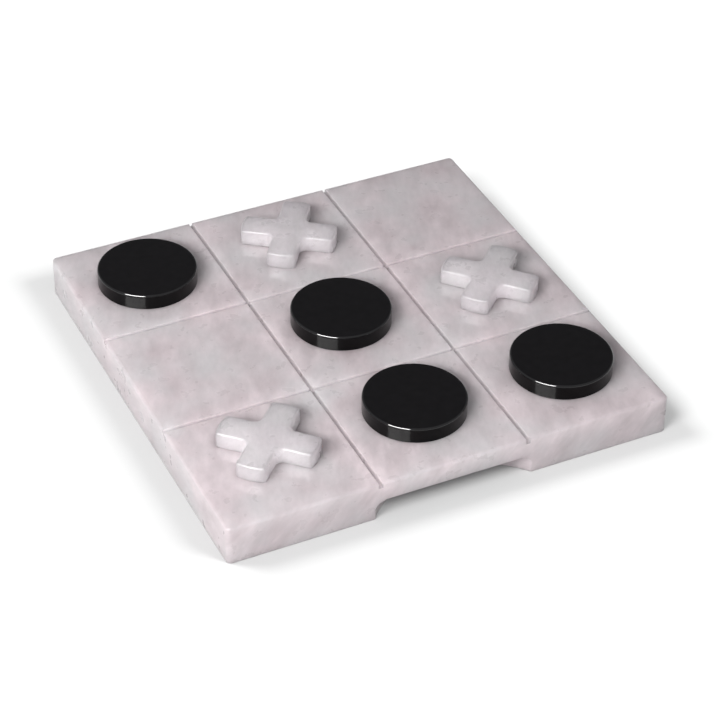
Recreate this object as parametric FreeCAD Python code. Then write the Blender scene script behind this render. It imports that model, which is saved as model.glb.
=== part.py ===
"""Stone tic tac toe set: a square alabaster board, four black discs and three white crosses.

The board is one thick slab. Two sawn grooves run each way across its top and out through its edges,
so they mark nine equal cells. A shallow finger recess is cut up into the underside at the middle of
the front edge and of the back edge. The discs and crosses are flat playing pieces that lie loose on
the board, seven of them in play, each a little off the centre of its cell.

Frame: origin at the centre of the board's underside, +X to the right along the front edge, +Y towards
the back edge, +Z up. Millimetres and degrees.
"""

import FreeCAD, Part
import os

# Board slab
BOARD_SIDE = 221.0
BOARD_THICKNESS = 20.0
CORNER_RADIUS = 2.4
TOP_EDGE_RADIUS = 1.3
LOWER_EDGE_RADIUS = 0.4

# Grooves between the nine cells
CELLS_PER_SIDE = 3
GROOVE_WIDTH = 1.8
GROOVE_DEPTH = 2.4
GROOVE_BED_RADIUS = 0.7
GROOVE_LIP_RADIUS = 0.3

# Finger recesses: arcs in plan, with a coved ceiling
RECESS_HALF_WIDTH = 39.4
RECESS_PLAN_RADIUS = 50.0
RECESS_HEIGHT = 9.9
RECESS_COVE_RADIUS = 5.0

# Playing pieces
PIECE_THICKNESS = 8.0
PIECE_TOP_RADIUS = 1.2
PIECE_FOOT_RADIUS = 0.3
DISC_DIAMETER = 48.6
CROSS_DIAMETER = 47.6
CROSS_ARM_WIDTH = 14.0
CROSS_THROAT_RADIUS = 3.5
CROSS_TIP_RADIUS = 1.5

# How far each cutting tool runs past the stone that it cuts
OVERCUT = 2.0

# Where each disc lies: name, then the X and Y of its centre
DISC_PLACES = [
    ("disc_back_left", -74.0, 74.0),
    ("disc_centre", -2.1, 5.5),
    ("disc_front_middle", -0.2, -69.6),
    ("disc_front_right", 75.7, -70.3),
]

# Where each cross lies: name, the X and Y of its centre, and its turn from the board's diagonals
CROSS_PLACES = [
    ("cross_back_middle", 2.1, 75.5, 10.6),
    ("cross_middle_right", 75.3, 0.8, -1.3),
    ("cross_front_left", -72.0, -67.7, 0.7),
]

HALF_SIDE = BOARD_SIDE / 2
CELL = BOARD_SIDE / CELLS_PER_SIDE
UP = FreeCAD.Vector(0, 0, 1)
ORIGIN = FreeCAD.Vector(0, 0, 0)


def edges_where(shape, test):
    """The edges of a shape whose bounding box passes a test."""
    return [edge for edge in shape.Edges if test(edge.BoundBox)]


def is_upright(box):
    """True for the box of an edge that runs straight up."""
    return box.XLength < 0.01 and box.YLength < 0.01


def is_level_at(height):
    """A test for the box of an edge that lies level at one height."""
    return lambda box: abs(box.ZMin - height) < 0.01 and abs(box.ZMax - height) < 0.01


def slab():
    """The square slab with rounded upright corners, from the underside to the top."""
    corner = FreeCAD.Vector(-HALF_SIDE, -HALF_SIDE, 0)
    block = Part.makeBox(BOARD_SIDE, BOARD_SIDE, BOARD_THICKNESS, corner)
    return block.makeFillet(CORNER_RADIUS, edges_where(block, is_upright))


def recess_cutter(side):
    """The round, cove-topped tool for one finger recess: side is -1 at the front, +1 at the back."""
    inset = (RECESS_PLAN_RADIUS ** 2 - RECESS_HALF_WIDTH ** 2) ** 0.5
    foot = FreeCAD.Vector(0, side * (HALF_SIDE + inset), -OVERCUT)
    tool = Part.makeCylinder(RECESS_PLAN_RADIUS, RECESS_HEIGHT + OVERCUT, foot, UP)
    return tool.makeFillet(RECESS_COVE_RADIUS, edges_where(tool, is_level_at(RECESS_HEIGHT)))


def is_recess_mouth(box):
    """True for the box of an edge where a recess breaks out through the front or back face."""
    on_face = box.YLength < 0.01 and abs(abs(box.Center.y) - HALF_SIDE) < 0.01
    return on_face and abs(box.Center.x) < RECESS_HALF_WIDTH + 1 and 0.01 < box.ZMax < RECESS_HEIGHT + 0.01


def groove_section():
    """The section of a groove: a round-cornered channel whose lips flare out to the board's top."""
    half = GROOVE_WIDTH / 2
    lip = half + GROOVE_LIP_RADIUS
    top = BOARD_THICKNESS
    bed = top - GROOVE_DEPTH
    turn = 0.5 ** 0.5

    def point(across, height):
        return FreeCAD.Vector(across, 0, height)

    def side(sign):
        """One wall from the lip down to the bed, on the left (-1) or the right (+1)."""
        lip_middle = point(sign * (lip - GROOVE_LIP_RADIUS * turn), top - GROOVE_LIP_RADIUS * (1 - turn))
        bed_middle = point(sign * (half - GROOVE_BED_RADIUS * (1 - turn)), bed + GROOVE_BED_RADIUS * (1 - turn))
        return [
            Part.LineSegment(point(sign * lip, top + OVERCUT), point(sign * lip, top)).toShape(),
            Part.Arc(point(sign * lip, top), lip_middle, point(sign * half, top - GROOVE_LIP_RADIUS)).toShape(),
            Part.LineSegment(point(sign * half, top - GROOVE_LIP_RADIUS),
                             point(sign * half, bed + GROOVE_BED_RADIUS)).toShape(),
            Part.Arc(point(sign * half, bed + GROOVE_BED_RADIUS), bed_middle,
                     point(sign * (half - GROOVE_BED_RADIUS), bed)).toShape(),
        ]

    bed_half = half - GROOVE_BED_RADIUS
    level = [
        Part.LineSegment(point(-bed_half, bed), point(bed_half, bed)).toShape(),
        Part.LineSegment(point(lip, top + OVERCUT), point(-lip, top + OVERCUT)).toShape(),
    ]
    edges = Part.sortEdges(side(-1) + side(1) + level)[0]
    return Part.Face(Part.Wire(edges))


def groove_cutters():
    """The four groove tools: two from front to back and two from left to right."""
    section = groove_section()
    section.translate(FreeCAD.Vector(0, -HALF_SIDE - OVERCUT, 0))
    run = section.extrude(FreeCAD.Vector(0, BOARD_SIDE + 2 * OVERCUT, 0))
    cutters = []
    for quarter_turn in (0, 90):
        for side in (-1, 1):
            cutter = run.copy()
            cutter.translate(FreeCAD.Vector(side * CELL / 2, 0, 0))
            cutter.rotate(ORIGIN, UP, quarter_turn)
            cutters.append(cutter)
    return cutters


def board():
    """The slab, recessed underneath, rounded along its edges and grooved across its top."""
    shape = slab().cut([recess_cutter(-1), recess_cutter(1)])
    lower = edges_where(shape, is_level_at(0)) + edges_where(shape, is_recess_mouth)
    shape = shape.makeFillet(LOWER_EDGE_RADIUS, lower)
    shape = shape.makeFillet(TOP_EDGE_RADIUS, edges_where(shape, is_level_at(BOARD_THICKNESS)))
    return shape.cut(groove_cutters())


def ease_rims(shape):
    """Rounds a playing piece's rim, more at the top than at the foot."""
    shape = shape.makeFillet(PIECE_TOP_RADIUS, edges_where(shape, is_level_at(PIECE_THICKNESS)))
    return shape.makeFillet(PIECE_FOOT_RADIUS, edges_where(shape, is_level_at(0)))


def disc():
    """A flat round playing piece, standing on the origin."""
    return ease_rims(Part.makeCylinder(DISC_DIAMETER / 2, PIECE_THICKNESS))


def cross():
    """A flat cross cut from a round blank, its arms along the diagonals, standing on the origin."""
    blank = Part.makeCylinder(CROSS_DIAMETER / 2, PIECE_THICKNESS)
    corner = FreeCAD.Vector(-CROSS_DIAMETER / 2, -CROSS_ARM_WIDTH / 2, 0)
    bars = []
    for turn in (45, 135):
        bar = Part.makeBox(CROSS_DIAMETER, CROSS_ARM_WIDTH, PIECE_THICKNESS, corner)
        bar.rotate(ORIGIN, UP, turn)
        bars.append(bar)
    shape = blank.common(bars[0].fuse(bars[1])).removeSplitter()
    throat_reach = CROSS_ARM_WIDTH

    def is_throat(box):
        return is_upright(box) and box.Center.Length < throat_reach

    def is_tip(box):
        return is_upright(box) and box.Center.Length > throat_reach

    shape = shape.makeFillet(CROSS_THROAT_RADIUS, edges_where(shape, is_throat))
    shape = shape.makeFillet(CROSS_TIP_RADIUS, edges_where(shape, is_tip))
    return ease_rims(shape)


def place(shape, x, y, turn=0.0):
    """A copy of a playing piece, turned about its centre and laid on the board's top."""
    piece = shape.copy()
    piece.rotate(ORIGIN, UP, turn)
    piece.translate(FreeCAD.Vector(x, y, BOARD_THICKNESS))
    return piece


def save(name, shape):
    """Writes one sub-part to its own STEP file and prints its size."""
    box = shape.optimalBoundingBox()
    print(f"{name}: {len(shape.Solids)} solid, valid {shape.isValid()}, volume {shape.Volume:.0f} mm3, "
          f"{box.XLength:.1f} x {box.YLength:.1f} x {box.ZLength:.1f} mm")
    shape.exportStep(f"parts/{name}.step")


def main():
    os.makedirs("parts", exist_ok=True)
    save("board", board())
    round_piece = disc()
    for name, x, y in DISC_PLACES:
        save(name, place(round_piece, x, y))
    crossed_piece = cross()
    for name, x, y, turn in CROSS_PLACES:
        save(name, place(crossed_piece, x, y, turn))


main()
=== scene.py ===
"""Looks of the stone tic tac toe set: cloudy alabaster board and crosses, polished black discs.

Metres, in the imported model's frame: origin at the centre of the board's underside, +X along its front
edge, +Y towards its back edge, +Z up.
"""

import bpy
import math
from mathutils import Matrix, Vector


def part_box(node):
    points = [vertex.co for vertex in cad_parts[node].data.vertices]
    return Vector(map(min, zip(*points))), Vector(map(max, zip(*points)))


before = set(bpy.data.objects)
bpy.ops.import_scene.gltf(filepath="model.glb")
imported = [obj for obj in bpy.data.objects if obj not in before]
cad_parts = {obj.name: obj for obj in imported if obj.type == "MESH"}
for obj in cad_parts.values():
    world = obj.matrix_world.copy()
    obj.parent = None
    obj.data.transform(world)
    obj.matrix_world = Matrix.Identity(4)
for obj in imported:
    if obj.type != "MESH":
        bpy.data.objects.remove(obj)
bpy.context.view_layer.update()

# The camera stands front left of the board and looks down on it
VIEW_TURN = math.radians(-25.975)
VIEW_HEIGHT = math.radians(37.913)
VIEW_ROLL = math.radians(0.928)
VIEW_DISTANCE = 1.1796
VIEW_AIM = Vector((-0.0016, -0.0149, 0.0100))
LENS_MM = 124.29
SENSOR_MM = 36.0

# Softboxes that light the stones: the key at the front left, and weak fills at the front and the back
KEY_PLACE = (-0.86, -0.57, 0.76)
KEY_SIZE = (0.85, 0.32)
KEY_WATTS = 25.3
KEY_COLOUR = (1.0, 0.99, 0.985)
FRONT_FILL_PLACE = (0.10, -1.30, 0.45)
FRONT_FILL_SIZE = (1.2, 0.5)
FRONT_FILL_WATTS = 2.8
BACK_FILL_PLACE = (0.95, 0.75, 0.22)
BACK_FILL_SIZE = (1.2, 0.4)
BACK_FILL_WATTS = 1.8
WORLD_COLOUR = (0.97, 0.985, 1.0)
WORLD_STRENGTH = 0.22

FLOOR_REACH = 6.0
FLOOR_PAINT = 0.35

# Each distant light on the floor: name, direction that it comes from, spread in degrees, strength
FLOOR_LIGHTS = [
    ("floor_top", (0.0, 0.0, 1.0), 96, 1.4),
    ("floor_front_left", (-0.91, -0.41, 1.0), 24, 3.5),
    ("floor_back_left", (-0.77, 0.64, 1.0), 24, 3.5),
    ("floor_front_right", (0.64, -0.77, 0.84), 24, 3.5),
]

# The stones' bedding lies across this direction, and their clouds are squeezed along it
BEDDING = (0.69, -0.29, -0.62)
BEDDING_SQUEEZE = (1.0, 1.0, 2.6)

# The grooves on the board: where the painted shade in them, a darker tone, fades out sideways, and how
# far below the board's top it starts and ends
CELLS_PER_SIDE = 3
GROOVE_FADE = (0.0010, 0.0014)
GROOVE_START = (0.0014, 0.0002)
GROOVE_END = (0.0027, 0.0024)
# How dark the painted shade in the grooves is at each side of X = 0, which run front to back, and of Y =
# 0
GROOVE_SHADE_TONES = {"X": 0.62, "Y": 0.75}

# Refractive index of the discs' flat and upright faces, and of their rounded rims
DISC_IOR = 1.25
DISC_RIM_IOR = 1.9


# ---------------------------------------------------------------- camera, floor and lights

def make_camera():
    """The camera, from its turn, height and distance round the point that it looks at."""
    back = Vector((
        math.sin(VIEW_TURN) * math.cos(VIEW_HEIGHT),
        -math.cos(VIEW_TURN) * math.cos(VIEW_HEIGHT),
        math.sin(VIEW_HEIGHT),
    ))
    level = Vector((math.cos(VIEW_TURN), math.sin(VIEW_TURN), 0))
    over = back.cross(level)
    right = level * math.cos(VIEW_ROLL) + over * math.sin(VIEW_ROLL)
    up = over * math.cos(VIEW_ROLL) - level * math.sin(VIEW_ROLL)
    data = bpy.data.cameras.new("camera")
    data.lens = LENS_MM
    data.sensor_width = SENSOR_MM
    data.clip_start = 0.05
    data.clip_end = 60
    camera = bpy.data.objects.new("camera", data)
    turn = Matrix((right, up, back)).transposed().to_4x4()
    camera.matrix_world = Matrix.Translation(VIEW_AIM + back * VIEW_DISTANCE) @ turn
    bpy.context.scene.collection.objects.link(camera)
    bpy.context.scene.camera = camera


def light_up(name, data, place, aim, receivers):
    """Stands a light at a place, facing a point. It lights only the objects of one collection."""
    light = bpy.data.objects.new(name, data)
    light.location = place
    light.rotation_mode = "QUATERNION"
    light.rotation_quaternion = (Vector(place) - Vector(aim)).to_track_quat("Z", "Y")
    light.light_linking.receiver_collection = receivers
    bpy.context.scene.collection.objects.link(light)
    return light


def softbox(name, place, aim, size, watts, receivers, colour=(1, 1, 1)):
    """A square or oblong area light of a width and a height."""
    data = bpy.data.lights.new(name, "AREA")
    data.shape = "RECTANGLE"
    data.size, data.size_y = size
    data.energy = watts
    data.color = colour
    return light_up(name, data, place, aim, receivers)


def distant(name, place, spread, strength, receivers):
    """Light from far off that comes from one direction, softened over an angle."""
    data = bpy.data.lights.new(name, "SUN")
    data.energy = strength
    data.angle = math.radians(spread)
    return light_up(name, data, place, (0, 0, 0), receivers)


def collect(name, objects):
    """A collection of objects for the lights to pick out."""
    collection = bpy.data.collections.new(name)
    for thing in objects:
        collection.objects.link(thing)
    return collection


def make_lights(floor):
    """Softboxes that light only the stones, and distant lights that light only the floor."""
    middle = (0, 0, 0.02)
    stones = collect("stones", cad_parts.values())
    ground = collect("ground", [floor])
    softbox("key_left", KEY_PLACE, middle, KEY_SIZE, KEY_WATTS, stones, KEY_COLOUR)
    fills = [
        softbox("front_fill", FRONT_FILL_PLACE, middle, FRONT_FILL_SIZE, FRONT_FILL_WATTS, stones),
        softbox("back_fill", BACK_FILL_PLACE, middle, BACK_FILL_SIZE, BACK_FILL_WATTS, stones),
    ]
    for fill in fills:
        fill.visible_glossy = False
    for name, place, spread, strength in FLOOR_LIGHTS:
        distant(name, place, spread, strength, ground)


def make_world():
    """Weak even light from all round."""
    world = bpy.data.worlds.new("studio")
    world.use_nodes = True
    shade = world.node_tree.nodes["Background"]
    shade.inputs["Color"].default_value = (*WORLD_COLOUR, 1)
    shade.inputs["Strength"].default_value = WORLD_STRENGTH
    bpy.context.scene.world = world


def make_floor():
    """A plain pale floor, whose bounce stays off the stones."""
    reach = FLOOR_REACH
    corners = [(-reach, -reach, 0), (reach, -reach, 0), (reach, reach, 0), (-reach, reach, 0)]
    mesh = bpy.data.meshes.new("floor")
    mesh.from_pydata(corners, [], [(0, 1, 2, 3)])
    floor = bpy.data.objects.new("floor", mesh)
    bpy.context.scene.collection.objects.link(floor)
    paint = bpy.data.materials.new("floor_paint")
    paint.use_nodes = True
    shader = paint.node_tree.nodes["Principled BSDF"]
    shader.inputs["Base Color"].default_value = (FLOOR_PAINT, FLOOR_PAINT, FLOOR_PAINT, 1)
    shader.inputs["Roughness"].default_value = 0.9
    shader.inputs["Specular IOR Level"].default_value = 0.0
    mesh.materials.append(paint)
    floor.visible_diffuse = False
    return floor


# ---------------------------------------------------------------- materials

class Nodes:
    """A short way to build one material's node tree round its Principled shader."""

    def __init__(self, name):
        self.material = bpy.data.materials.new(name)
        self.material.use_nodes = True
        self.tree = self.material.node_tree
        self.shader = self.tree.nodes["Principled BSDF"]

    def node(self, kind, settings=None, **inputs):
        node = self.tree.nodes.new(kind)
        for key, value in (settings or {}).items():
            setattr(node, key, value)
        for key, value in inputs.items():
            self.put(node.inputs[key.replace("_", " ")], value)
        return node

    def put(self, socket, value):
        """Links an output to a socket, or sets the socket's own value."""
        if isinstance(value, bpy.types.NodeSocket):
            self.tree.links.new(value, socket)
        else:
            socket.default_value = value

    def position(self):
        return self.node("ShaderNodeTexCoord").outputs["Object"]

    def stretched(self, source, along, scale):
        """Coordinates squeezed along one direction, so that a pattern lies in layers across it."""
        turn = Vector(along).normalized().rotation_difference(Vector((0, 0, 1))).to_euler()
        turned = self.node("ShaderNodeMapping", Vector=source, Rotation=tuple(turn)).outputs[0]
        return self.node("ShaderNodeMapping", Vector=turned, Scale=scale).outputs[0]

    def noise(self, source, scale, detail=4.0, roughness=0.5, distortion=0.0):
        made = self.node("ShaderNodeTexNoise", Vector=source, Scale=scale, Detail=detail,
                         Roughness=roughness, Distortion=distortion)
        return made.outputs["Fac"]

    def ramp(self, source, stops):
        """A colour ramp over (place, colour) stops."""
        node = self.node("ShaderNodeValToRGB", Fac=source)
        ramp = node.color_ramp
        while len(ramp.elements) < len(stops):
            ramp.elements.new(0.5)
        for element, (place, colour) in zip(ramp.elements, stops):
            element.position = place
            element.color = (*colour, 1)
        return node.outputs["Color"]

    def span(self, source, low, high, to_low, to_high):
        """Maps a range of values onto another and holds it there."""
        node = self.node("ShaderNodeMapRange", Value=source, From_Min=low, From_Max=high,
                         To_Min=to_low, To_Max=to_high)
        return node.outputs["Result"]

    def math(self, operation, first, second=0.0):
        node = self.node("ShaderNodeMath", {"operation": operation})
        self.put(node.inputs[0], first)
        self.put(node.inputs[1], second)
        return node.outputs[0]

    def upward(self):
        """How far the surface faces up: 1 on a top, 0 on a side."""
        normal = self.node("ShaderNodeNewGeometry").outputs["Normal"]
        return self.node("ShaderNodeSeparateXYZ", Vector=normal).outputs["Z"]

    def mix(self, share, first, second, blend="MIX"):
        node = self.node("ShaderNodeMix", {"data_type": "RGBA", "blend_type": blend})
        self.put(node.inputs["Factor"], share)
        self.put(node.inputs[6], first)
        self.put(node.inputs[7], second)
        return node.outputs[2]

    def bump(self, height, depth, strength):
        node = self.node("ShaderNodeBump", Height=height, Distance=depth, Strength=strength)
        return node.outputs["Normal"]


def groove_painted_shade(made, place):
    """Painted shade: a tone that darkens the colour down in the sawn grooves, where shade falls, and
    leaves the rest as it is.
    """
    low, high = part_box("board")
    groove = (high[0] - low[0]) / CELLS_PER_SIDE / 2
    parts = made.node("ShaderNodeSeparateXYZ", Vector=place).outputs
    below_lip = made.span(parts["Z"], high[2] - GROOVE_START[0], high[2] - GROOVE_START[1], 1.0, 0.0)
    above_bed = made.span(parts["Z"], high[2] - GROOVE_END[0], high[2] - GROOVE_END[1], 0.0, 1.0)
    deep = made.math("MULTIPLY", below_lip, above_bed)
    tone = 1.0
    for axis, dark in GROOVE_SHADE_TONES.items():
        off = made.math("ABSOLUTE", made.math("SUBTRACT", made.math("ABSOLUTE", parts[axis]), groove))
        near = made.math("MULTIPLY", made.span(off, *GROOVE_FADE, 1.0, 0.0), deep)
        tone = made.math("MULTIPLY", made.span(near, 0.0, 1.0, 1.0, dark), tone)
    return tone


def alabaster(name, dark, light, cool, scale, depth, coat, tone=None):
    """Cloudy translucent stone: layered clouds, cooler patches, fine streaks and a thin clear polish.

    scale is how many clouds there are to a metre, roughly, and depth how far light spreads inside.
    """
    made = Nodes(name)
    place = made.position()
    layered = made.stretched(place, BEDDING, BEDDING_SQUEEZE)
    cloud = made.noise(layered, scale, detail=3, roughness=0.5)
    colour = made.ramp(cloud, [(0.30, dark), (0.70, light)])
    patch = made.span(made.noise(place, scale * 0.7, detail=2), 0.42, 0.70, 0.0, 0.9)
    colour = made.mix(patch, colour, (*cool, 1))
    streak = made.span(made.noise(layered, scale * 3.6, detail=3, roughness=0.5), 0.3, 0.7, 0.95, 1.045)
    colour = made.mix(1.0, colour, streak, "MULTIPLY")
    grain = made.span(made.noise(place, 700, detail=2), 0.3, 0.7, 0.99, 1.01)
    colour = made.mix(1.0, colour, grain, "MULTIPLY")
    # Painted shade in the grooves, when given, darkens the colour
    if tone is not None:
        colour = made.mix(1.0, colour, tone(made, place), "MULTIPLY")
    shader = made.shader
    made.put(shader.inputs["Base Color"], colour)
    rough = made.span(made.noise(place, 160, detail=4), 0.3, 0.7, 0.26, 0.36)
    made.put(shader.inputs["Roughness"], rough)
    wave = made.bump(made.noise(layered, 90, detail=2), 0.00006, 0.4)
    made.put(shader.inputs["Normal"], wave)
    shader.inputs["IOR"].default_value = 1.52
    shader.subsurface_method = "BURLEY"
    shader.inputs["Subsurface Weight"].default_value = 1.0
    shader.inputs["Subsurface Radius"].default_value = (1.0, 0.95, 0.96)
    shader.inputs["Subsurface Scale"].default_value = depth
    made.put(shader.inputs["Coat Weight"], made.span(made.upward(), 0.5, 1.0, coat * 0.4, coat))
    shader.inputs["Coat Roughness"].default_value = 0.05
    shader.inputs["Coat IOR"].default_value = 1.5
    return made.material


def black_stone():
    """Polished black stone: faint grey clouds on top, sides darkened with painted shade, and a rim that
    shines more.
    """
    made = Nodes("black_stone")
    place = made.position()
    up = made.upward()
    cloud = made.noise(place, 260, detail=6, roughness=0.65)
    colour = made.ramp(cloud, [(0.35, (0.0044, 0.0040, 0.0046)), (0.72, (0.0064, 0.0058, 0.0066))])
    # Painted shade: the colour drops to a quarter on the upright sides, which stay darker than the top
    colour = made.mix(1.0, colour, made.span(up, 0.0, 0.9, 0.25, 1.0), "MULTIPLY")
    shader = made.shader
    made.put(shader.inputs["Base Color"], colour)
    rough = made.span(made.noise(place, 500, detail=4), 0.3, 0.7, 0.04, 0.09)
    made.put(shader.inputs["Roughness"], rough)
    made.put(shader.inputs["Normal"], made.bump(made.noise(place, 90, detail=2), 0.00002, 0.4))
    rim = made.math("MULTIPLY", made.span(up, 0.15, 0.4, 0.0, 1.0), made.span(up, 0.85, 0.97, 1.0, 0.0))
    made.put(shader.inputs["IOR"], made.span(rim, 0.0, 1.0, DISC_IOR, DISC_RIM_IOR))
    return made.material


def paint(node, material):
    """Gives a CAD node one material over all its faces."""
    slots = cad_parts[node].material_slots
    for slot in slots:
        slot.link = "OBJECT"
        slot.material = material


def finish_stones():
    """Gives the board, every cross and every disc its stone."""
    board = alabaster("board_alabaster", dark=(0.462, 0.402, 0.421), light=(0.608, 0.537, 0.560),
                      cool=(0.518, 0.497, 0.511), scale=52, depth=0.015, coat=1.0, tone=groove_painted_shade)
    cross = alabaster("cross_alabaster", dark=(0.490, 0.452, 0.474), light=(0.545, 0.506, 0.529),
                      cool=(0.512, 0.488, 0.502), scale=80, depth=0.034, coat=0.5)
    disc = black_stone()
    paint("board", board)
    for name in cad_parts:
        if name.startswith("cross"):
            paint(name, cross)
        elif name.startswith("disc"):
            paint(name, disc)


make_camera()
make_world()
make_lights(make_floor())
finish_stones()
bpy.context.scene.view_settings.view_transform = "Standard"
